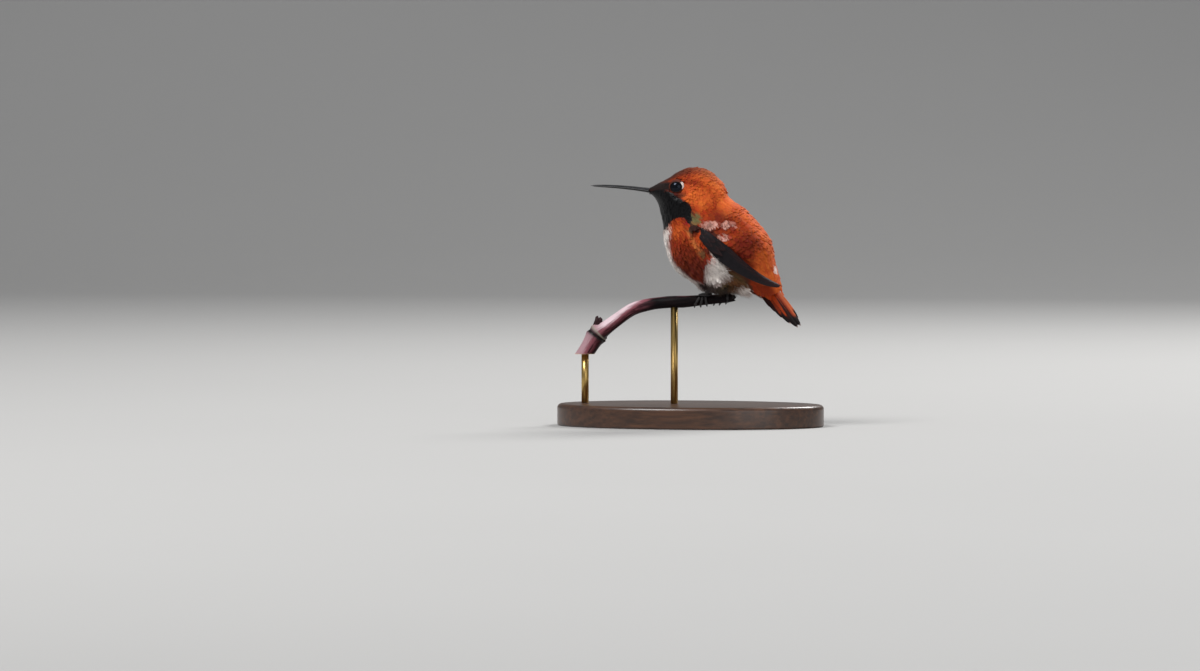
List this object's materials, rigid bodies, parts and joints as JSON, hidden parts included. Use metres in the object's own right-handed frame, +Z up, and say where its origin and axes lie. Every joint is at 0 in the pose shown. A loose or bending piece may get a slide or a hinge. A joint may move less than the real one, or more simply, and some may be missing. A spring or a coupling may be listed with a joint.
{
  "type": "life-size model of a male rufous hummingbird perched on a cut stem",
  "caption": "Perched hummingbird in left profile, rust-red with a dark throat, gripping a bent cut stem that two short rods hold above an oval wooden base.",
  "frame": {"origin": "middle of the oval base's underside", "axes": "+Z up; the bird's bill points along -X and its left side faces -Y"},
  "size_m": [0.074, 0.046, 0.0707],
  "materials": {
    "rufous plumage": "overlapping rust-red contour feathers",
    "breast plumage": "rust breast with a pale edge",
    "gorget plumage": "small iridescent scales that look black from the side",
    "white plumage": "loose white down",
    "wing quills": "dusky folded flight feathers",
    "tail quills": "rust tail feathers with dark tips",
    "bill horn": "black horn, satin",
    "eye": "wet black",
    "leg scales": "dusky scaled skin",
    "claw horn": "black horn",
    "bark": "smooth reddish stem bark, slightly wet",
    "dark wood": "dark stained and waxed",
    "brass rod": "brushed"
  },
  "bodies": {
    "root": {"bill_lower": "bill horn", "bill_upper": "bill horn", "breast": "breast plumage", "claw_left_1": "claw horn", "claw_left_2": "claw horn", "claw_left_3": "claw horn", "claw_left_4": "claw horn", "claw_right_1": "claw horn", "claw_right_2": "claw horn", "claw_right_3": "claw horn", "claw_right_4": "claw horn", "eye_left": "eye", "eye_right": "eye", "gorget": "gorget plumage", "head": "rufous plumage", "leg_left": "leg scales", "leg_right": "leg scales", "neck": "rufous plumage", "perch": "bark", "rump": "rufous plumage", "stand_base": "dark wood", "stand_rod_front": "brass rod", "stand_rod_rear": "brass rod", "tail": "tail quills", "thigh_left": "white plumage", "thigh_right": "white plumage", "toe_left_1": "leg scales", "toe_left_2": "leg scales", "toe_left_3": "leg scales", "toe_left_4": "leg scales", "toe_right_1": "leg scales", "toe_right_2": "leg scales", "toe_right_3": "leg scales", "toe_right_4": "leg scales", "trunk": "rufous plumage", "undertail": "white plumage", "wing_left_coverts": "wing quills", "wing_left_primaries": "wing quills", "wing_right_coverts": "wing quills", "wing_right_primaries": "wing quills"}
  },
  "joints": []
}
